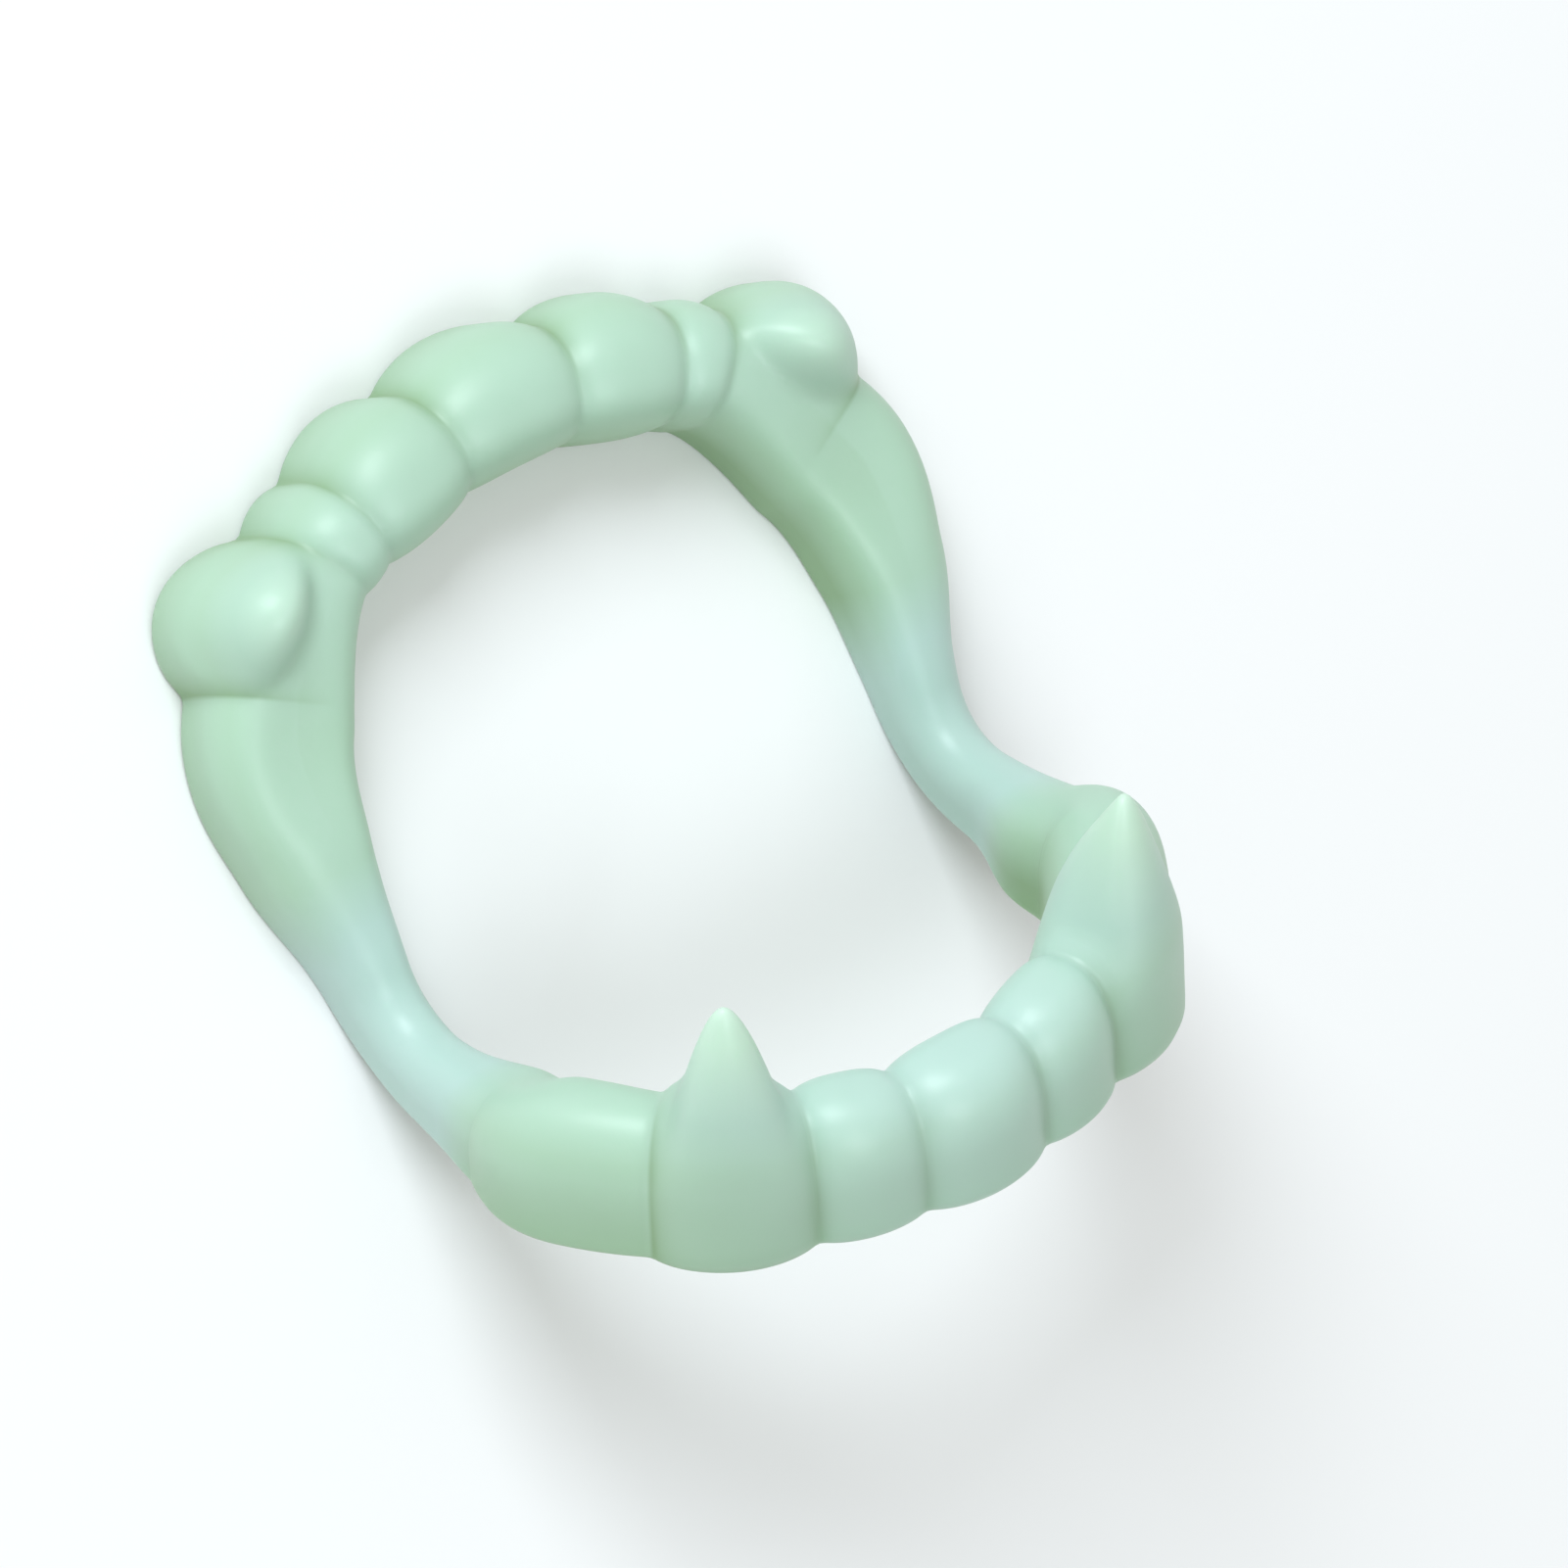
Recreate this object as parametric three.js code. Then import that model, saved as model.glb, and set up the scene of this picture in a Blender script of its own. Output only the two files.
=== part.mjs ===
// Vampire fang denture: a one-piece soft plastic moulding that is worn over the wearer's teeth.
// An upper arch with seven teeth and a lower arch with five teeth form one closed ring. Two
// hinge bars at the back join them and spring them open.
// Millimetres. X runs across the jaw. The moulding rests on the gum side of its upper arch, with the
// upper front teeth towards -Y and pointing up, and the lower arch rises behind the hinge bars.
import * as THREE from "three";

// Overall sizes
const openAngle = 124.5; // between the gum planes of the two arches, in degrees
const upperWidth = 34.4; // between the middles of the band at the upper molars
const upperDepth = 26; // hinge line to the middle of the band at the upper front
const lowerWidth = 34.5; // between the middles of the band at the lower molars
const lowerDepth = 22.5; // hinge line to the middle of the band at the lower front
const hingeWidth = 34.2; // between the middles of the two hinge bars
const bendLength = 6; // stretch of each hinge bar that is bent
const bendHeight = 2.5; // neutral line of the bend, above the gum plane

// Band
const bandThickness = 6; // labial face to lingual face between two teeth
const bandHeight = 6.4; // gum edge to the rim between two teeth
const wall = 1.2; // on each side of the trough for the wearer's teeth
const troughDepth = 4.2;

// Teeth
const toothWidth = 7.5; // middle upper tooth, notch to notch
const toothBulge = 1.3; // how far a front tooth stands out of the band
const toothRise = 0.9; // how far a front tooth rises above the notches beside it
const upperFangRise = 2.4; // tip of the upper canine above its crown
const lowerFangRise = 6.8; // tip of the lower fang above its crown

// The straight part of each face, as a share of the height, and the power that rounds the rest
const labialFace = { start: 0.35, power: 0.9 };
const uprightFace = { start: 0.6, power: 0.65 };
const lingualFace = { start: 0.3, power: 0.8 };

// Facets
const toothSteps = 14; // stations across the middle upper tooth
const leastToothSteps = 6;
const barStep = 1.2; // most distance between stations where the band is plain
const outsideSteps = 20; // facets over the outside of a section
const troughSteps = 6; // facets round the trough

// Turns rows of values into objects with the column names as keys.
function table(columns, rows) {
  return Object.entries(rows).map(([name, values]) => ({
    name,
    ...Object.fromEntries(columns.map((column, i) => [column, values[i]])),
  }));
}

// Sections of the right half, from the middle of the upper front to the middle of the lower one.
// across and along are shares of half the arch's width and of its depth. labial and lingual are
// the faces' distances from the middle of the band, as shares of half its thickness. crest is the
// height of the rim, and dish the hollow along the middle of it, as shares of the band's height.
// trough is the share of the trough's depth.
const sections = table(
  ["arch", "across", "along", "labial", "lingual", "crest", "dish", "trough"],
  {
    upperFront: ["upper", 0, 1, 1, 1, 1, 0, 1],
    upperSide: ["upper", 0.4, 0.955, 1, 1, 1, 0, 1],
    upperCanine: ["upper", 0.73, 0.86, 1, 1, 0.98, 0, 1],
    upperMolar: ["upper", 1, 0.62, 1.35, 1.35, 0.92, 0.12, 0.8],
    upperRear: ["upper", 1.02, 0.38, 1.2, 0.9, 0.86, 0.04, 0],
    upperBar: ["upper", 1, 0.17, 0.8, 0.65, 0.68, 0, 0],
    hinge: ["hinge", 1, 0, 0.62, 0.62, 0.58, 0, 0],
    lowerBar: ["lower", 0.99, 0.2, 0.7, 0.65, 0.66, 0, 0],
    lowerRear: ["lower", 0.98, 0.38, 0.92, 1, 0.84, 0, 0],
    lowerMolar: ["lower", 0.97, 0.58, 1.05, 1.1, 1.15, 0, 0.8],
    lowerFang: ["lower", 0.63, 0.875, 0.85, 1, 1.12, 0, 1],
    lowerFront: ["lower", 0, 1, 0.85, 0.8, 1, 0, 1],
  },
);

// Teeth from the middle of each arch outwards. Each one but the middle tooth has a twin. width,
// bulge and rise are shares of the named tooth sizes. lobe is the lobe on the lingual side, as a
// share of the one in front, and upright how much steeper than the band its labial face stands.
const toothColumns = ["width", "bulge", "rise", "lobe", "upright"];
const upperTeeth = table(toothColumns, {
  middle: [1, 0.85, 1, 0.3, 0],
  side: [0.83, 0.9, 1, 0.3, 0],
  small: [0.36, 0.4, 0.6, 0.3, 0],
  canine: [0.92, 2.2, 0.1, 0, 0],
});
const lowerTeeth = table(toothColumns, {
  middle: [0.88, 0.8, 1.2, 0.3, 0.3],
  small: [0.7, 0.6, 0.9, 0.3, 0.3],
  fang: [0.93, 1.1, 1.8, 0.1, 1],
});

// Points of the long teeth. width is the share of the tooth's width that the point's foot takes.
// at is how far labially it stands, as a share of half the band's thickness, and reach how far
// its lingual slope runs past the middle of the band, as a share of the lingual face. sides,
// labial and lingual are powers that round its faces: 1 is straight, and more is fuller. ridged is
// 0 where the point is a round dome or cone, and 1 where a ridge runs down its lingual slope.
const fangPoints = table(["width", "at", "reach", "sides", "labial", "lingual", "ridged"], {
  canine: [1, 0.95, -0.15, 2, 2.4, 2, 0],
  fang: [0.75, 0.5, 1.05, 1.7, 1.8, 1.1, 1],
});
const pointHeights = { canine: upperFangRise, fang: lowerFangRise };
const pointFlare = 1.3; // more makes the points run out more gently into their crowns

// How a tooth's lobe and its crown fall away from the middle of the tooth to its notches
const lobeFall = { spread: 2, power: 0.8 };
const crownFall = { spread: 2.5, power: 0.7 };

const dishNarrowness = 6; // more makes the hollow along the rim narrower
const troughCorner = 0.6; // less makes the trough squarer

const arches = {
  upper: { side: -1, width: upperWidth, depth: upperDepth },
  hinge: { side: 0, width: hingeWidth, depth: 0 },
  lower: { side: 1, width: lowerWidth, depth: lowerDepth },
};

// One section's place in the flat ring, its faces and its heights, for the right or left side.
function placeSection(row, side) {
  const arch = arches[row.arch];
  return {
    path: new THREE.Vector3((side * row.across * arch.width) / 2, arch.side * row.along * arch.depth, 0),
    faces: new THREE.Vector3(row.labial, row.lingual, 0).multiplyScalar(bandThickness / 2),
    heights: new THREE.Vector3(row.crest * bandHeight, row.dish * bandHeight, row.trough * troughDepth),
  };
}

// Smooth closed curves through all the sections, the right half and then its mirror image.
function ringCurves() {
  const right = sections.map((row) => placeSection(row, 1));
  const left = sections.slice(1, -1).reverse().map((row) => placeSection(row, -1));
  const ring = [...right, ...left];
  const through = (key) => new THREE.CatmullRomCurve3(ring.map((s) => s[key]), true, "catmullrom");
  return Object.fromEntries(Object.keys(ring[0]).map((key) => [key, through(key)]));
}

const curves = ringCurves();
curves.path.arcLengthDivisions = 2000;
const ringLength = curves.path.getLength();

const wrap = (place) => THREE.MathUtils.euclideanModulo(place, ringLength);

// Where each tooth stands along the ring, side by side from the middle of its arch.
function layTeeth(rows, middle) {
  const spans = [];
  let edge = 0;
  rows.forEach((row, i) => {
    const half = (row.width * toothWidth) / 2;
    const centre = i === 0 ? 0 : edge + half;
    edge = centre + half;
    const tooth = { ...row, half, point: fangPoints.find(({ name }) => name === row.name) };
    spans.push({ ...tooth, centre: wrap(middle + centre) });
    if (i > 0) spans.push({ ...tooth, centre: wrap(middle - centre) });
  });
  return spans;
}

const teeth = [...layTeeth(upperTeeth, 0), ...layTeeth(lowerTeeth, ringLength / 2)];

// Stations along the ring: even steps across each tooth, and wider ones along the bars.
function stations() {
  const spans = teeth
    .map((tooth) => ({ from: wrap(tooth.centre - tooth.half), length: 2 * tooth.half }))
    .sort((a, b) => a.from - b.from);
  const places = [];
  const divide = (from, length, count) => {
    for (let i = 0; i < count; i++) places.push(wrap(from + (length * i) / count));
  };
  spans.forEach(({ from, length }, i) => {
    const next = spans[(i + 1) % spans.length];
    const plain = wrap(next.from - from) - length;
    divide(from, length, Math.max(leastToothSteps, Math.round((toothSteps * length) / toothWidth)));
    if (plain > barStep / 2) divide(from + length, plain, Math.ceil(plain / barStep));
  });
  return places.sort((a, b) => a - b);
}

// The tooth at a place along the ring, with the place's share of the way from its middle.
function toothAt(place) {
  for (const tooth of teeth) {
    const away = Math.abs(wrap(place - tooth.centre + ringLength / 2) - ringLength / 2);
    if (away < tooth.half) return { ...tooth, away: away / tooth.half };
  }
  return null;
}

const fall = (away, { spread, power }) => (1 - away ** spread) ** power;

// What a tooth adds to the band: a round lobe on each side, a rounded crown and perhaps a point.
function crown(place) {
  const tooth = toothAt(place);
  if (!tooth) return { bulge: 0, lobe: 0, rise: 0, aside: 1, upright: 0 };
  const { away, point } = tooth;
  const lobe = fall(away, lobeFall);
  return {
    bulge: toothBulge * tooth.bulge * lobe,
    lobe: toothBulge * tooth.bulge * tooth.lobe * lobe,
    upright: tooth.upright * lobe,
    rise: toothRise * tooth.rise * fall(away, crownFall),
    aside: point ? (away / point.width) ** point.sides : 1,
    point,
  };
}

// The outside of a section from the labial gum edge over the rim to the lingual gum edge, as
// points [distance to the labial side, height above the gum plane].
function outside(labial, lingual, crest, dish, { aside, point, upright }) {
  const { lerp } = THREE.MathUtils;
  const front = {
    start: lerp(labialFace.start, uprightFace.start, upright),
    power: lerp(labialFace.power, uprightFace.power, upright),
  };
  const skin = [[labial, 0]];
  for (let i = 0; i <= outsideSteps; i++) {
    const turn = (Math.PI * i) / outsideSteps;
    const out = Math.cos(turn);
    const up = Math.sin(turn);
    const { start, power } = out > 0 ? front : lingualFace;
    const x = (out > 0 ? labial : -lingual) * Math.abs(out) ** power;
    const rim = start * crest + (1 - start) * crest * up ** power - dish * up ** dishNarrowness;
    skin.push([x, rim + (aside < 1 ? pointHeight(x, labial, lingual, aside, point) : 0)]);
  }
  skin.push([-lingual, 0]);
  return skin;
}

// How far a point rises above the crown at a distance x across the band. aside is 0 along the
// middle of the tooth and 1 where the point's foot ends.
function pointHeight(x, labial, lingual, aside, point) {
  const peak = (point.at * bandThickness) / 2;
  const away = Math.abs(x - peak);
  const before = (away / (labial - peak)) ** point.labial;
  const behind = (away / (peak + lingual * point.reach)) ** point.lingual;
  const across = Math.min(1, x > peak ? before : behind);
  const share = 1 - aside - across + point.ridged * aside * across;
  return pointHeights[point.name] * Math.max(0, share) ** pointFlare;
}

// The trough between the gum edges, from the lingual side to the labial side.
function trough(labial, lingual, depth) {
  const skin = [];
  for (let i = 0; i <= troughSteps; i++) {
    const turn = (Math.PI * i) / troughSteps;
    const out = Math.cos(turn);
    const reach = out > 0 ? wall - lingual : labial - wall;
    skin.push([reach * Math.abs(out) ** troughCorner, depth * Math.sin(turn) ** troughCorner]);
  }
  return skin;
}

// One whole section of the ring.
function sectionAt(place) {
  const t = curves.path.getUtoTmapping(place / ringLength);
  const { x: labial, y: lingual } = curves.faces.getPoint(t);
  const { x: crest, y: dish, z: depth } = curves.heights.getPoint(t);
  const tooth = crown(place);
  const front = labial + tooth.bulge;
  const back = lingual + tooth.lobe;
  return [
    ...outside(front, back, crest + tooth.rise, Math.max(0, dish), tooth),
    ...trough(labial, lingual, Math.max(0, depth)),
  ];
}

// Bends the flat ring upwards at the hinge line, where y is the way towards the lower front.
function bend(x, y, height) {
  const turn = THREE.MathUtils.degToRad(180 - openAngle);
  const radius = bendLength / turn;
  const start = -bendLength / 2;
  const angle = turn * THREE.MathUtils.clamp((y - start) / bendLength, 0, 1);
  const before = Math.min(y, start);
  const past = Math.max(0, y + start);
  const above = height - bendHeight;
  return [
    x,
    before + (radius - above) * Math.sin(angle) + past * Math.cos(angle),
    bendHeight + radius - (radius - above) * Math.cos(angle) + past * Math.sin(angle),
  ];
}

// The ring's surface: every section joined to the next one, the last to the first.
function ringGeometry() {
  const rows = stations().map((place) => {
    const centre = curves.path.getPointAt(place / ringLength);
    const along = curves.path.getTangentAt(place / ringLength);
    return sectionAt(place).map(([out, up]) =>
      bend(centre.x + out * along.y, centre.y - out * along.x, up),
    );
  });
  const around = rows[0].length;
  const index = [];
  rows.forEach((row, i) => {
    const here = i * around;
    const next = ((i + 1) % rows.length) * around;
    row.forEach((point, j) => {
      const k = (j + 1) % around;
      index.push(here + j, next + j, next + k, here + j, next + k, here + k);
    });
  });
  const geometry = new THREE.BufferGeometry();
  geometry.setAttribute("position", new THREE.Float32BufferAttribute(rows.flat(2), 3));
  geometry.setIndex(index);
  geometry.computeVertexNormals();
  return geometry;
}

const softPlastic = new THREE.MeshStandardMaterial({ color: 0xb5d5c4, roughness: 0.42, metalness: 0 });

// The origin is under the middle of the moulding, on the surface that the upper arch lies on.
function fangDenture() {
  const geometry = ringGeometry();
  geometry.computeBoundingBox();
  const { min, max } = geometry.boundingBox;
  const denture = new THREE.Mesh(geometry, softPlastic);
  denture.name = "fang_denture";
  denture.position.set(-(min.x + max.x) / 2, -(min.y + max.y) / 2, -min.z);
  return denture;
}

const group = new THREE.Group();
group.add(fangDenture());

export default group;
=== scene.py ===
# Vampire fang denture: the soft moulding's fine surface and finish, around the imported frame.
import math
import bpy
from mathutils import Matrix, Vector


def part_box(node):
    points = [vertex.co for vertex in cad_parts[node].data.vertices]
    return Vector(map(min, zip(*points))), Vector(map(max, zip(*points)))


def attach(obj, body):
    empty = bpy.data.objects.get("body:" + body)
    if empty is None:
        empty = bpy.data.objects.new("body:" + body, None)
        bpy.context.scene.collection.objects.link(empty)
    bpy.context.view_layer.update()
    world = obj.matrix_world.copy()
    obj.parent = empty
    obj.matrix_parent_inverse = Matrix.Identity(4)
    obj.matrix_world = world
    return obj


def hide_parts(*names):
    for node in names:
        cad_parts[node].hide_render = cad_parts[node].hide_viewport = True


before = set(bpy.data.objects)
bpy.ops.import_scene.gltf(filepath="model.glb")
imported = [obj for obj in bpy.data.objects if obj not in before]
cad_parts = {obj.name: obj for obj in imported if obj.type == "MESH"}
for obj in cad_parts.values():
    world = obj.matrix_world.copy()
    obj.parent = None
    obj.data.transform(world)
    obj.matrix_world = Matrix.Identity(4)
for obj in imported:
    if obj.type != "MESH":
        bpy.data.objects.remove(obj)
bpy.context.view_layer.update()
print("frame loaded")

mm = 0.001


# a method of the class below that joins two values through one maths node
def operator(operation, swapped=False):
    def apply(wire, other):
        first, second = (other, wire) if swapped else (wire, other)
        return makeNode(wire.tree, "ShaderNodeMath", {"operation": operation}, [first, second])

    return apply


# one number socket of a node tree, with operators that add the maths nodes
class Wire:
    def __init__(self, tree, socket):
        self.tree = tree
        self.socket = socket

    __add__ = operator("ADD")
    __radd__ = operator("ADD", True)
    __sub__ = operator("SUBTRACT")
    __rsub__ = operator("SUBTRACT", True)
    __mul__ = operator("MULTIPLY")
    __rmul__ = operator("MULTIPLY", True)
    __truediv__ = operator("DIVIDE")
    __pow__ = operator("POWER")
    __gt__ = operator("GREATER_THAN")
    __lt__ = operator("LESS_THAN")
    least = operator("MAXIMUM")
    most = operator("MINIMUM")
    modulo = operator("MODULO")

    def math(self, operation):
        return makeNode(self.tree, "ShaderNodeMath", {"operation": operation}, [self])

    def __neg__(self):
        return self * -1

    def __abs__(self):
        return self.math("ABSOLUTE")

    def floor(self):
        return self.math("FLOOR")

    def sin(self):
        return self.math("SINE")

    def cos(self):
        return self.math("COSINE")

    def clamped(self):
        return self.least(0.0).most(1.0)


# any node: its settings go in first, then the values and links of its sockets
def makeNode(tree, kind, settings=None, inputs=(), output=0):
    node = tree.nodes.new(kind)
    for name, value in (settings or {}).items():
        setattr(node, name, value)
    pairs = inputs.items() if isinstance(inputs, dict) else enumerate(inputs)
    for key, value in pairs:
        if isinstance(value, Wire):
            tree.links.new(value.socket, node.inputs[key])
        else:
            node.inputs[key].default_value = value
    return Wire(tree, node.outputs[output])


# the three parts of a vector, each as a wire
def splitVector(vector):
    split = makeNode(vector.tree, "ShaderNodeSeparateXYZ", None, [vector])
    return [Wire(vector.tree, socket) for socket in split.socket.node.outputs]


# The moulding. Lengths are in metres.
denture = {
    "openAngle": 124.5,  # degrees between the gum planes of the two arches
    "upperWidth": 34.4 * mm,
    "upperDepth": 26 * mm,
    "lowerWidth": 34.5 * mm,
    "lowerDepth": 22.5 * mm,
    "hingeWidth": 34.2 * mm,
    "bendLength": 6 * mm,
    "bendHeight": 2.5 * mm,
    "bandThickness": 6 * mm,
    "bandHeight": 6.4 * mm,
    "wall": 1.2 * mm,
    "troughDepth": 4.2 * mm,
    "toothWidth": 7.5 * mm,
    "toothBulge": 1.3 * mm,
    "toothRise": 0.9 * mm,
    "upperFangRise": 2.4 * mm,
    "lowerFangRise": 6.8 * mm,
    "waviness": 0.12 * mm,  # unevenness of a cheap mould
    "waveScale": 170.0,
    "seed": 4.0,
    "railSteps": 48,  # between two sections
    "stations": 680,  # along the ring
    "softening": 2,  # rounds of smoothing that take the edge off the notches
}

# Sections from the middle of the upper front to the middle of the lower front
sectionColumns = ("arch", "across", "along", "labial", "lingual", "crest", "dish", "trough")
sectionRows = (
    ("upper", 0, 1, 1, 1, 1, 0, 1),
    ("upper", 0.4, 0.955, 1, 1, 1, 0, 1),
    ("upper", 0.73, 0.86, 1, 1, 0.98, 0, 1),
    ("upper", 1, 0.62, 1.35, 1.35, 0.92, 0.12, 0.8),
    ("upper", 1.02, 0.38, 1.2, 0.9, 0.86, 0.04, 0),
    ("upper", 1, 0.17, 0.8, 0.65, 0.68, 0, 0),
    ("hinge", 1, 0, 0.62, 0.62, 0.58, 0, 0),
    ("lower", 0.99, 0.2, 0.7, 0.65, 0.66, 0, 0),
    ("lower", 0.98, 0.38, 0.92, 1, 0.84, 0, 0),
    ("lower", 0.97, 0.58, 1.05, 1.1, 1.15, 0, 0.8),
    ("lower", 0.63, 0.875, 0.85, 1, 1.12, 0, 1),
    ("lower", 0, 1, 0.85, 0.8, 1, 0, 1),
)

# Teeth from the middle of each arch outwards, as shares of the tooth sizes
toothColumns = ("name", "width", "bulge", "rise", "lobe", "upright")
toothRows = {
    "upper": (
        ("middle", 1, 0.85, 1, 0.3, 0),
        ("side", 0.83, 0.9, 1, 0.3, 0),
        ("small", 0.36, 0.4, 0.6, 0.3, 0),
        ("canine", 0.92, 2.2, 0.1, 0, 0),
    ),
    "lower": (
        ("middle", 0.88, 0.8, 1.2, 0.3, 0.3),
        ("small", 0.7, 0.6, 0.9, 0.3, 0.3),
        ("fang", 0.93, 1.1, 1.8, 0.1, 1),
    ),
}

# Points of the long teeth: where they stand, how far they reach, how full their slopes are, and
# whether a ridge runs down the lingual slope (1) or the point is round (0)
pointColumns = ("height", "width", "at", "reach", "sides", "labial", "lingual", "ridged")
pointRows = {
    "canine": ("upperFangRise", 1, 0.95, -0.15, 2, 2.4, 2, 0),
    "fang": ("lowerFangRise", 0.75, 0.5, 1.05, 1.7, 1.8, 1.1, 1),
}
pointFlare = 1.3  # more makes the points run out more gently

# Straight part of each face, as a share of the height, and the power that rounds the rest
faces = {"labial": (0.35, 0.9), "upright": (0.6, 0.65), "lingual": (0.3, 0.8)}

# How a tooth's lobe and its crown fall away from the middle of the tooth to its notches
lobeFall = {"spread": 2, "power": 0.8}
crownFall = {"spread": 2.5, "power": 0.7}

dishNarrowness = 6  # more makes the hollow along the rim narrower
troughCorner = 0.6  # less makes the trough squarer

# Steps around a section: two upright sides, the arch over the rim, two gum edges, the trough
around = {"side": 8, "over": 66, "edge": 4, "trough": 26}

toothEdge = 0.999  # share of the way to a notch past which the tooth counts as ended
notchSharpness = 7  # more keeps the painted shade closer to the notches
notchReach = 0.4  # how far past the rim a notch's painted shade runs, as a share of the way down


def namedRow(columns, values):
    return dict(zip(columns, values))


def railMesh():
    # one vertex for each section of the flat ring, with the section's sizes as attributes
    arches = {
        "upper": (-1, denture["upperWidth"], denture["upperDepth"]),
        "hinge": (0, denture["hingeWidth"], 0),
        "lower": (1, denture["lowerWidth"], denture["lowerDepth"]),
    }
    right = [{**namedRow(sectionColumns, row), "side": 1} for row in sectionRows]
    left = [{**row, "side": -1} for row in reversed(right[1:-1])]
    places = []
    sizes = []
    for row in right + left:
        front, width, depth = arches[row["arch"]]
        places.append((row["side"] * row["across"] * width / 2, front * row["along"] * depth, 0))
        sizes.append({
            "labial": row["labial"] * denture["bandThickness"] / 2,
            "lingual": row["lingual"] * denture["bandThickness"] / 2,
            "crest": row["crest"] * denture["bandHeight"],
            "dish": row["dish"] * denture["bandHeight"],
            "trough": row["trough"] * denture["troughDepth"],
        })
    mesh = bpy.data.meshes.new("denture_rail")
    mesh.from_pydata(places, [], [])
    for name in sizes[0]:
        layer = mesh.attributes.new(name, "FLOAT", "POINT")
        layer.data.foreach_set("value", [size[name] for size in sizes])
    return mesh


# each tooth of one arch, with its middle and half its width, in tooth widths from the arch's middle
def toothPlaces(rows):
    edge = 0.0
    for values in rows:
        row = namedRow(toothColumns, values)
        half = row["width"] / 2
        centre = edge + half if edge else 0.0
        edge = centre + half
        yield row, centre, half


def toothForms(fromMiddle, sizes, rows):
    # what the teeth of one arch add to the band, by the distance walked from its middle
    forms = {"bulge": 0.0, "rise": 0.0, "lobe": 0.0, "upright": 0.0, "notch": 0.0}
    for row, centre, half in toothPlaces(rows):
        away = (abs(fromMiddle / sizes["toothWidth"] - centre) / half).most(1.0)
        swell = (1 - away ** lobeFall["spread"]) ** lobeFall["power"]
        crest = (1 - away ** crownFall["spread"]).least(0.0) ** crownFall["power"]
        forms["bulge"] = forms["bulge"] + swell * (sizes["toothBulge"] * row["bulge"])
        forms["lobe"] = forms["lobe"] + swell * (sizes["toothBulge"] * (row["bulge"] * row["lobe"]))
        forms["upright"] = forms["upright"] + swell * row["upright"]
        forms["notch"] = forms["notch"] + away ** notchSharpness * (away < toothEdge)
        forms["rise"] = forms["rise"] + crest * (sizes["toothRise"] * row["rise"])
        if row["name"] in pointRows:
            point = namedRow(pointColumns, pointRows[row["name"]])
            forms["point"] = {**point, "aside": (away / point["width"]) ** point["sides"]}
    return forms


def pointHeight(x, labial, lingual, point, sizes):
    # how far a point rises above the crown at a distance x across the band
    peak = sizes["bandThickness"] * (point["at"] / 2)
    away = x - peak
    before = (away / (labial - peak)).clamped() ** point["labial"]
    behind = (-away / (peak + lingual * point["reach"])).clamped() ** point["lingual"]
    across = before + behind
    aside = point["aside"]
    share = 1 - aside - across + aside * across * point["ridged"]
    return share.least(0.0) ** pointFlare * sizes[point["height"]]


wholeSizes = ("stations", "softening")
treeSizes = (
    "openAngle", "bendLength", "bendHeight", "bandThickness", "wall", "toothWidth", "toothBulge",
    "toothRise", "upperFangRise", "lowerFangRise", "waviness", "waveScale", "seed", *wholeSizes,
)


# the rail: a smooth closed curve through the sections, in even steps
def smoothRail(add, knots, sizes):
    rail = add("GeometryNodeMeshToPoints", None, [knots])
    rail = add("GeometryNodePointsToCurves", None, [rail])
    rail = add("GeometryNodeSetSplineCyclic", None, {0: rail, "Cyclic": True})
    rail = add("GeometryNodeCurveSplineType", {"spline_type": "CATMULL_ROM"}, [rail])
    rail = add("GeometryNodeSetSplineResolution", None, {0: rail, "Resolution": denture["railSteps"]})
    return add("GeometryNodeResampleCurve", {"mode": "COUNT"}, {0: rail, "Count": sizes["stations"]})


# the outside of a section: distance towards the labial side, and height above the gum plane
def outsideOf(band, teeth, over, sides, sizes):
    out = (over * math.pi).cos()
    up = (over * math.pi).sin().least(0.0)
    front = out > 0

    def faceOf(forLabial, forLingual):
        return forLingual + front * (forLabial - forLingual)

    start, power = (
        faceOf(teeth["upright"] * (steep - plain) + plain, inner)
        for plain, steep, inner in zip(faces["labial"], faces["upright"], faces["lingual"])
    )
    x = faceOf(band["reach"], -band["back"]) * abs(out) ** power
    straight = band["top"] * start
    rim = straight + (band["top"] - straight) * up ** power - band["dish"] * up ** dishNarrowness
    for point in teeth["points"]:
        rim = rim + pointHeight(x, band["reach"], band["back"], point, sizes)
    return x, rim * sides, out


# the trough between the gum edges, and the two edges themselves
def troughOf(band, teeth, edgeIn, inside, edgeOut, sizes):
    out = (inside * math.pi).cos()
    up = (inside * math.pi).sin().least(0.0)
    lip = sizes["wall"]
    toLingual = out > 0
    width = band["labial"] - lip + toLingual * (lip * 2 - band["lingual"] - band["labial"])
    fromLingual = (edgeIn - 1) * (lip + teeth["lobe"])
    toLabial = edgeOut * (lip + teeth["bulge"])
    x = width * abs(out) ** troughCorner + fromLingual + toLabial
    return x, band["trough"] * up ** troughCorner


# bends the flat ring upwards at the hinge line
def bentUp(flatY, z, sizes):
    fullTurn = (180 - sizes["openAngle"]) * (math.pi / 180)
    radius = sizes["bendLength"] / fullTurn
    start = sizes["bendLength"] * -0.5
    angle = fullTurn * ((flatY - start) / sizes["bendLength"]).clamped()
    before = flatY.most(start)
    past = (flatY + start).least(0.0)
    arm = radius - (z - sizes["bendHeight"])
    y = before + arm * angle.sin() + past * angle.cos()
    return y, sizes["bendHeight"] + radius - arm * angle.cos() + past * angle.sin()


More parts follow.
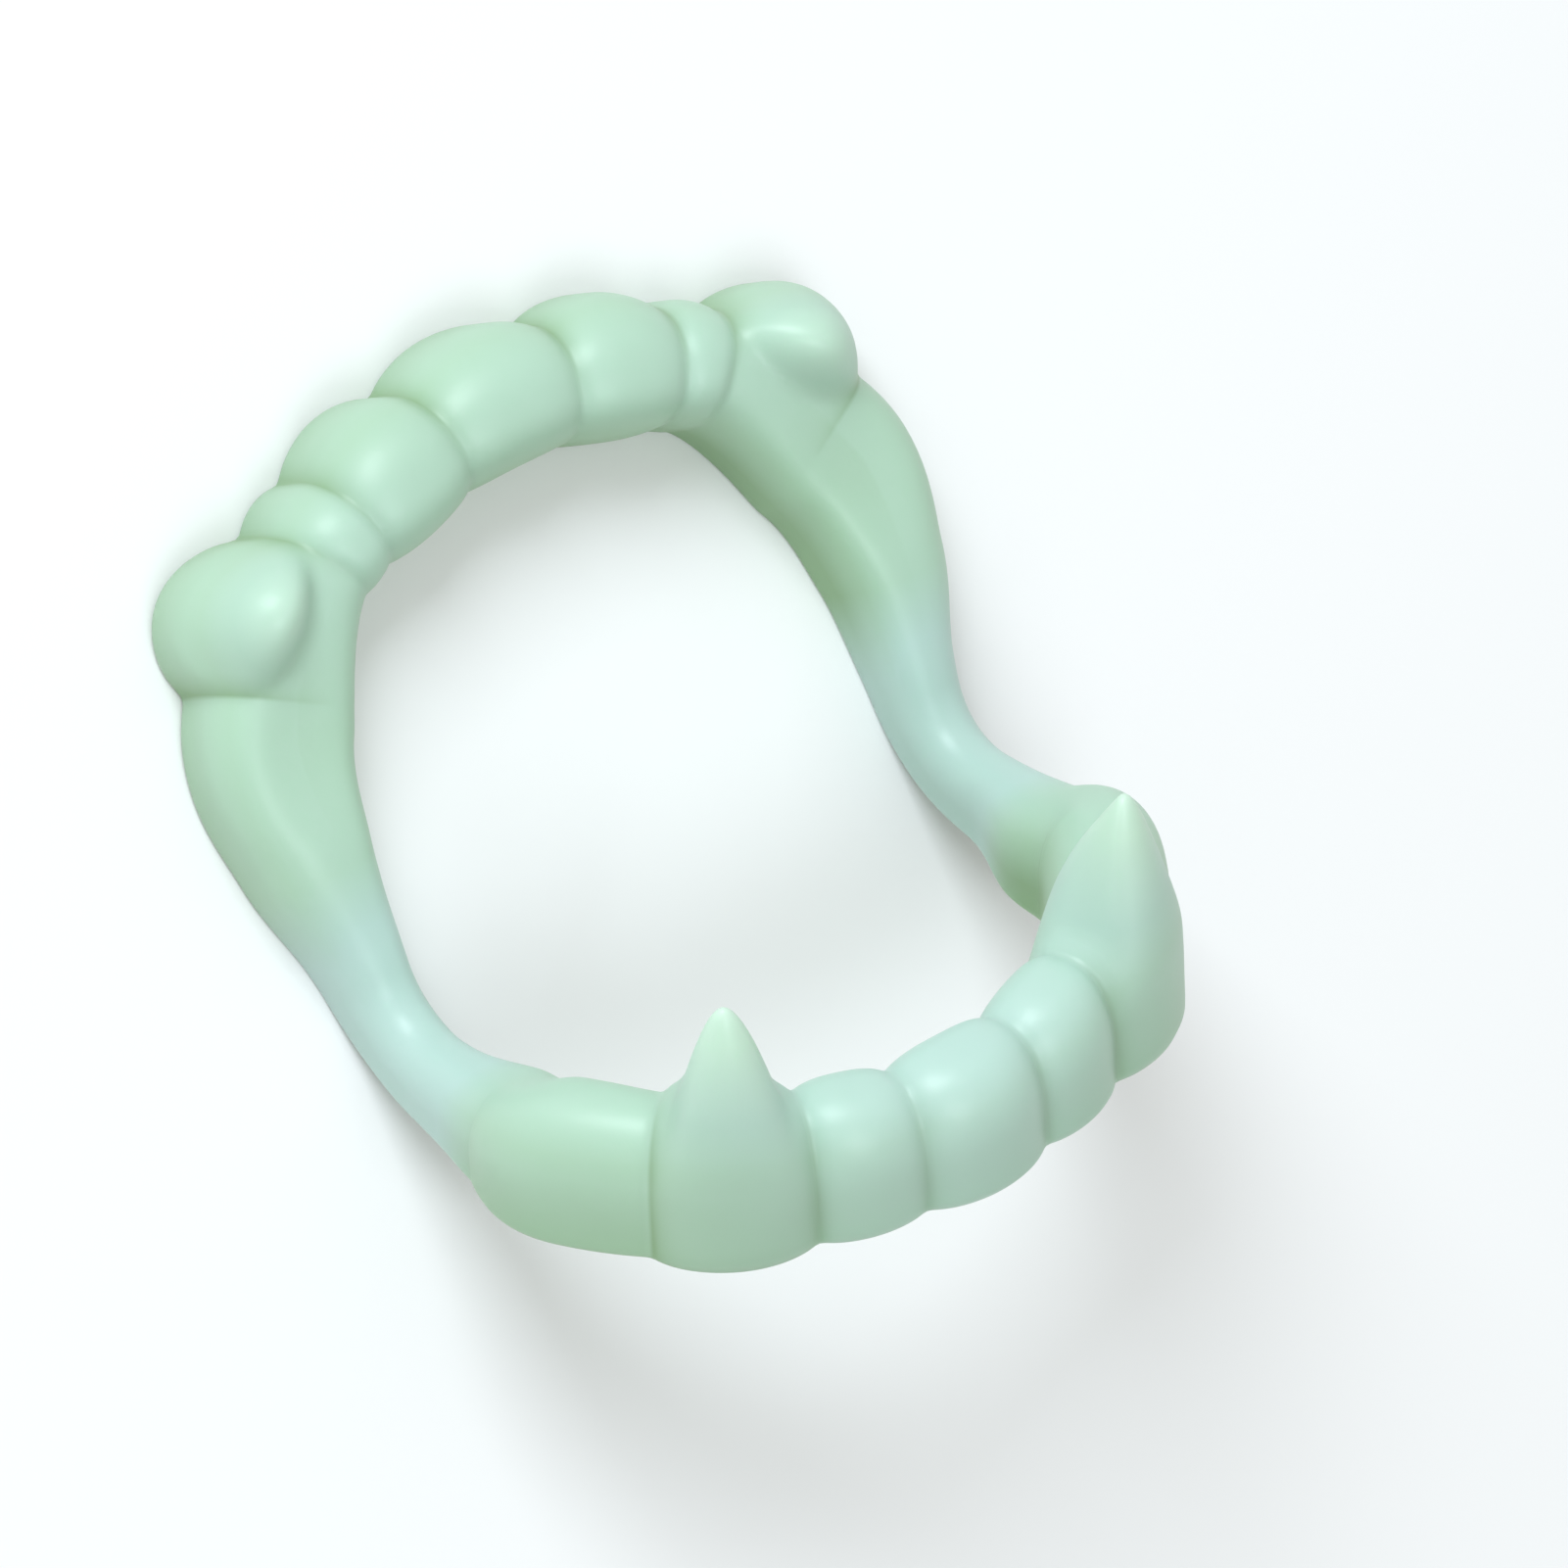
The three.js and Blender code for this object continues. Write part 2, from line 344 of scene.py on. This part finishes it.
# takes the edge off the notches and adds the unevenness of the mould
def softened(add, skin, sizes):
    place = add("GeometryNodeInputPosition")
    blurred = add("GeometryNodeBlurAttribute", {"data_type": "FLOAT_VECTOR"},
                  {0: place, "Iterations": sizes["softening"]})
    skin = add("GeometryNodeSetPosition", None, {0: skin, "Position": blurred})
    wave = add("ShaderNodeTexNoise", {"noise_dimensions": "4D"},
               {"Vector": place, "W": sizes["seed"], "Scale": sizes["waveScale"], "Detail": 1.0})
    push = add("ShaderNodeVectorMath", {"operation": "SCALE"},
               {0: add("GeometryNodeInputNormal"), "Scale": (wave - 0.5) * sizes["waviness"]})
    return add("GeometryNodeSetPosition", None, {0: skin, "Offset": push})


def dentureTree(material):
    tree = bpy.data.node_groups.new("dentureRing", "GeometryNodeTree")
    panel = tree.interface
    panel.new_socket("Geometry", in_out="INPUT", socket_type="NodeSocketGeometry")
    for name in treeSizes:
        kind = "NodeSocketInt" if name in wholeSizes else "NodeSocketFloat"
        panel.new_socket(name, in_out="INPUT", socket_type=kind)
    panel.new_socket("Geometry", in_out="OUTPUT", socket_type="NodeSocketGeometry")
    source = tree.nodes.new("NodeGroupInput")
    sizes = {name: Wire(tree, source.outputs[name]) for name in treeSizes}

    def add(kind, settings=None, inputs=(), output=0):
        return makeNode(tree, kind, settings, inputs, output)

    rail = smoothRail(add, Wire(tree, source.outputs[0]), sizes)
    ringLength = add("GeometryNodeCurveLength", None, [rail])

    # the skin: a grid, one row of vertices for each station
    steps = [around[name] for name in ("side", "over", "side", "edge", "trough", "edge")]
    perRow = sum(steps) + 1
    grid = add("GeometryNodeMeshGrid", None, {"Vertices X": sizes["stations"] + 1, "Vertices Y": perRow})
    index = add("GeometryNodeInputIndex")
    row = (index / perRow + 0.001).floor()  # the small share keeps whole rows whole
    column = index - row * perRow
    station = row.modulo(sizes["stations"])

    def sample(what, kind="FLOAT"):
        settings = {"data_type": kind, "domain": "POINT"}
        return add("GeometryNodeSampleIndex", settings, {0: rail, 1: what, "Index": station})

    def sectionSize(name):
        return sample(add("GeometryNodeInputNamedAttribute", {"data_type": "FLOAT"}, [name]))

    # teeth by the distance from the middle of each arch
    walked = station / sizes["stations"] * ringLength
    upper = toothForms(walked.most(ringLength - walked), sizes, toothRows["upper"])
    lower = toothForms(abs(walked - ringLength / 2), sizes, toothRows["lower"])
    teeth = {name: upper[name] + lower[name] for name in ("bulge", "rise", "lobe", "upright", "notch")}
    teeth["points"] = [upper["point"], lower["point"]]

    band = {name: sectionSize(name) for name in ("labial", "lingual", "crest")}
    band.update({name: sectionSize(name).least(0.0) for name in ("dish", "trough")})
    band["top"] = band["crest"] + teeth["rise"]
    band["reach"] = band["labial"] + teeth["bulge"]
    band["back"] = band["lingual"] + teeth["lobe"]

    # one section, walked from the labial gum edge over the rim and back through the trough
    starts = [sum(steps[:i]) for i in range(len(steps))]
    shares = [((column - start) / count).clamped() for start, count in zip(starts, steps)]
    upLabial, over, downLingual, edgeIn, inside, edgeOut = shares
    outerX, outerZ, out = outsideOf(band, teeth, over, upLabial.most(1 - downLingual), sizes)
    innerX, innerZ = troughOf(band, teeth, edgeIn, inside, edgeOut, sizes)
    isInner = column > starts[3] - 0.5
    x = outerX + isInner * (innerX - outerX)
    z = outerZ + isInner * (innerZ - outerZ)

    # across the ring, then bent up
    centreX, centreY, _ = splitVector(sample(add("GeometryNodeInputPosition"), "FLOAT_VECTOR"))
    alongX, alongY, _ = splitVector(sample(add("GeometryNodeInputTangent"), "FLOAT_VECTOR"))
    bentY, bentZ = bentUp(centreY - x * alongX, z, sizes)
    place = add("ShaderNodeCombineXYZ", None, [centreX + x * alongY, bentY, bentZ])
    skin = add("GeometryNodeSetPosition", None, {0: grid, "Position": place})

    # what the finish needs to know; height, notch, inner and trough also place its painted shade and
    # painted highlights
    marks = {
        "height": z / band["top"],
        "notch": teeth["notch"] * (out + notchReach).clamped(),
        "inner": (1 - (out > 0)) * (1 - z / band["top"]) * (1 - isInner),
        "trough": isInner,
        "slender": 1 - (band["labial"] + band["lingual"]) / sizes["bandThickness"],
    }
    for name, value in marks.items():
        skin = add("GeometryNodeStoreNamedAttribute", {"data_type": "FLOAT", "domain": "POINT"},
                   {0: skin, "Name": name, "Value": value})

    skin = add("GeometryNodeMergeByDistance", None, {0: skin, "Distance": 0.001 * mm})
    skin = softened(add, skin, sizes)
    skin = add("GeometryNodeSetShadeSmooth", None, [skin])
    skin = add("GeometryNodeRealizeInstances", None, [skin])
    skin = add("GeometryNodeSetMaterial", None, {0: skin, "Material": material})
    sink = tree.nodes.new("NodeGroupOutput")
    tree.links.new(skin.socket, sink.inputs[0])
    return tree


def makeDenture(material):
    ring = bpy.data.objects.new("denture_ring", railMesh())
    bpy.context.scene.collection.objects.link(ring)
    tree = dentureTree(material)
    grower = ring.modifiers.new("ring", "NODES")
    grower.node_group = tree
    for item in tree.interface.items_tree:
        if item.in_out == "INPUT" and item.name in treeSizes:
            value = denture[item.name]
            grower[item.identifier] = value if item.name in wholeSizes else float(value)
    shaped = ring.evaluated_get(bpy.context.evaluated_depsgraph_get())
    mesh = bpy.data.meshes.new_from_object(shaped)
    rail = ring.data
    ring.modifiers.remove(grower)
    ring.data = mesh
    bpy.data.meshes.remove(rail)

    # the ring stands as the CAD does: the middle of the box over the origin, resting on the floor
    low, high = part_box("fang_denture")
    corners = [Vector(corner) for corner in ring.bound_box]
    bottom = Vector([min(corner[i] for corner in corners) for i in range(3)])
    top = Vector([max(corner[i] for corner in corners) for i in range(3)])
    middle = (low + high) / 2 - (bottom + top) / 2
    mesh.transform(Matrix.Translation((middle.x, middle.y, low.z - bottom.z)))
    print("denture ring:", len(mesh.vertices), "vertices,", len(mesh.polygons), "faces")
    return ring


# The finish: one pale mint plastic, satin, a little translucent
plastic = {
    "base": (0.41, 0.60, 0.45),
    "paintedShade": (0.25, 0.41, 0.22),  # painted shade: darker and yellower in the notches, on the inner faces, towards the gum edge and in the trough
    "paintedHighlightAndThin": (0.49, 0.66, 0.64),  # painted highlight: bluer and lighter along the rims; also lighter and bluer in the thin hinge bars
    "paintedTipHighlight": (0.56, 0.75, 0.60),  # painted highlight: lighter towards the tips of the points
    "notchShare": 0.9,
    "innerShare": 1.2,
    "lowShare": 0.8,  # painted shade towards the gum edge
    "lowBelow": 0.6,  # heights here are shares of the tooth's
    "troughShare": 0.5,
    "cloudShare": 0.6,
    "rimAbove": 0.75,
    "rimShare": 1.4,
    "rimFade": 0.8,  # how fast the rim's painted highlight fades out again up the points
    "rimGone": 2,  # and the height where it has gone
    "slenderShare": 3.5,
    "paintedHighlightAndThinShare": 0.75,
    "tipAbove": 1.05,
    "tipSlope": 2,
    "tipShare": 0.8,
    "roughness": 0.42,
    "roughnessSpread": 0.12,
    "reliefStrength": 0.12,
    "reliefHeight": 0.15 * mm,
    "depth": 2.2 * mm,  # how far light travels inside
    "depthByColour": (0.8, 1.0, 0.85),
    "translucency": 0.4,
    "refraction": 1.5,
}

# Cloudiness, smudges and grain: how fine, how detailed, and a seed of their own
textures = {
    "clouds": (90.0, 2.0, 1.0),
    "smudges": (260.0, 4.0, 2.0),
    "fineGrain": (2600.0, 2.0, 3.0),
    "grain": (500.0, 3.0, 5.0),
}
fineGrainShare = 0.35


def softPlastic():
    material = bpy.data.materials.new("soft_mint_plastic")
    material.use_nodes = True
    tree = material.node_tree
    shader = tree.nodes["Principled BSDF"]

    def add(kind, settings=None, inputs=(), output=0):
        return makeNode(tree, kind, settings, inputs, output)

    def noise(name):
        scale, detail, seed = textures[name]
        return add("ShaderNodeTexNoise", {"noise_dimensions": "4D"},
                   {"Vector": place, "W": seed, "Scale": scale, "Detail": detail})

    def kept(name):
        return add("ShaderNodeAttribute", {"attribute_name": name}, (), 2)

    def blend(share, below, name):
        colour = (*plastic[name], 1)
        return add("ShaderNodeMix", {"data_type": "RGBA"}, {0: share, 6: below, 7: colour}, 2)

    place = add("ShaderNodeTexCoord", None, (), 3)
    height = kept("height")
    # painted shade: the notches, inner faces, gum edge and trough are darkened towards the deep colour,
    # plus random clouds of tone
    shadeAndClouds = (
        kept("notch") * plastic["notchShare"] + kept("inner") * plastic["innerShare"]
        + (plastic["lowBelow"] - height).clamped() * plastic["lowShare"]
        + kept("trough") * plastic["troughShare"] + (noise("clouds") - 0.5) * plastic["cloudShare"]
    )
    # painted highlight: lighter and bluer along the rims, fading out up the points; the thin hinge bars
    # are lightened too
    rim = ((height - plastic["rimAbove"]) * plastic["rimShare"]).clamped()
    rim = rim * ((plastic["rimGone"] - height) * plastic["rimFade"]).clamped()
    slender = kept("slender").least(0.0) * plastic["slenderShare"]
    # painted highlight on the points
    paintedTipHighlight = ((height - plastic["tipAbove"]) * plastic["tipSlope"]).clamped()
    base = blend(shadeAndClouds.clamped(), (*plastic["base"], 1), "paintedShade")
    base = blend((rim + slender).clamped() * plastic["paintedHighlightAndThinShare"], base, "paintedHighlightAndThin")
    base = blend(paintedTipHighlight * plastic["tipShare"], base, "paintedTipHighlight")
    roughness = plastic["roughness"] + (noise("smudges") - 0.5) * plastic["roughnessSpread"]
    relief = add("ShaderNodeBump", None, {
        "Strength": plastic["reliefStrength"],
        "Distance": plastic["reliefHeight"],
        "Height": noise("fineGrain") * fineGrainShare + noise("grain"),
    })
    tree.links.new(base.socket, shader.inputs["Base Color"])
    tree.links.new(roughness.socket, shader.inputs["Roughness"])
    tree.links.new(relief.socket, shader.inputs["Normal"])
    shader.inputs["IOR"].default_value = plastic["refraction"]
    shader.inputs["Subsurface Weight"].default_value = plastic["translucency"]
    shader.inputs["Subsurface Radius"].default_value = plastic["depthByColour"]
    shader.inputs["Subsurface Scale"].default_value = plastic["depth"]
    return material


ring = makeDenture(softPlastic())
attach(ring, "root")
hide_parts("fang_denture")
print("denture dressed")

# Studio: a pale floor, pale surroundings and two soft lights
studio = {
    "floorSize": 3.0,
    "floorColour": (0.86, 0.86, 0.86),
    "floorRoughness": 0.6,
    "floorShine": 0.2,
    "surround": 0.51,
    "surroundColour": (1, 0.98, 0.93),
    "lampColour": (0.86, 0.94, 1),  # a little blue, as the photo's highlights are
    # how far along the picture's right, up and back each lamp stands, its width and its power
    "lamps": {
        "key": ((-0.1, 0.4, 0.57), 0.35, 3.8),
        "fill": ((0.28, -0.25, 0.62), 0.3, 1.5),
    },
}

# The photo's camera: where its middle looks, from which side, and how far it is rolled
view = {
    "azimuth": 68.4,
    "elevation": 61.4,
    "roll": 86.6,
    "distance": 0.716,
    "pixelsPerMetre": 20400,
    "hingeAt": (694.3, 900.4),  # the pixel of the point below
    "hingePoint": (0, 0, 3 * mm),  # on the hinge line, from the hinge line's middle on the floor
    "imageSize": 1601,
    "sensor": 36.0,
    "nearest": 0.01,
}


def cameraAxes():
    azimuth, elevation, roll = (math.radians(view[name]) for name in ("azimuth", "elevation", "roll"))
    level = Vector((math.cos(azimuth), math.sin(azimuth), 0))
    outwards = Vector((math.sin(azimuth), -math.cos(azimuth), 0))
    back = outwards * math.cos(elevation) + Vector((0, 0, math.sin(elevation)))
    right = level * math.cos(roll) + back.cross(level) * math.sin(roll)
    return right, back.cross(right), back


def hingeLine():
    # the upper front is as far in front of the box's middle as half the box's depth
    low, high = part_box("fang_denture")
    middleTooth = namedRow(toothColumns, toothRows["upper"][0])
    bulge = middleTooth["bulge"] * denture["toothBulge"]
    return low.y + denture["upperDepth"] + denture["bandThickness"] / 2 + bulge


def makeCamera():
    right, up, back = cameraAxes()
    half = view["imageSize"] / 2
    aside = (half - view["hingeAt"][0]) / view["pixelsPerMetre"]
    above = (view["hingeAt"][1] - half) / view["pixelsPerMetre"]
    aim = Vector(view["hingePoint"]) + Vector((0, hingeLine(), 0)) + right * aside + up * above
    camera = bpy.data.objects.new("camera", bpy.data.cameras.new("camera"))
    bpy.context.scene.collection.objects.link(camera)
    turn = Matrix((right, up, back)).transposed().to_4x4()
    camera.matrix_world = Matrix.Translation(aim + back * view["distance"]) @ turn
    focal = view["pixelsPerMetre"] * view["distance"] / view["imageSize"]
    camera.data.sensor_width = view["sensor"]
    camera.data.lens = focal * view["sensor"]
    camera.data.clip_start = view["nearest"]
    bpy.context.scene.camera = camera


def makeFloor():
    half = studio["floorSize"] / 2
    corners = [(-half, -half, 0), (half, -half, 0), (half, half, 0), (-half, half, 0)]
    mesh = bpy.data.meshes.new("floor")
    mesh.from_pydata(corners, [], [(0, 1, 2, 3)])
    floor = bpy.data.objects.new("floor", mesh)
    bpy.context.scene.collection.objects.link(floor)
    paper = bpy.data.materials.new("pale_paper")
    paper.use_nodes = True
    shader = paper.node_tree.nodes["Principled BSDF"]
    shader.inputs["Base Color"].default_value = (*studio["floorColour"], 1)
    shader.inputs["Roughness"].default_value = studio["floorRoughness"]
    shader.inputs["Specular IOR Level"].default_value = studio["floorShine"]
    mesh.materials.append(paper)


def makeLamp(name, share, size, power):
    right, up, back = cameraAxes()
    lamp = bpy.data.lights.new(name, "AREA")
    lamp.energy = power
    lamp.color = studio["lampColour"]
    lamp.size = size
    light = bpy.data.objects.new(name, lamp)
    bpy.context.scene.collection.objects.link(light)
    place = right * share[0] + up * share[1] + back * share[2]
    turn = place.to_track_quat("Z", "Y").to_matrix().to_4x4()
    light.matrix_world = Matrix.Translation(place) @ turn


def makeStudio():
    makeFloor()
    bpy.context.scene.view_settings.view_transform = "Standard"  # keeps the pale floor white
    world = bpy.data.worlds.new("studio")
    bpy.context.scene.world = world
    world.use_nodes = True
    sky = world.node_tree.nodes["Background"]
    sky.inputs["Color"].default_value = (*studio["surroundColour"], 1)
    sky.inputs["Strength"].default_value = studio["surround"]
    for name, (share, size, power) in studio["lamps"].items():
        makeLamp(name, share, size, power)


makeStudio()
makeCamera()
print("studio ready")
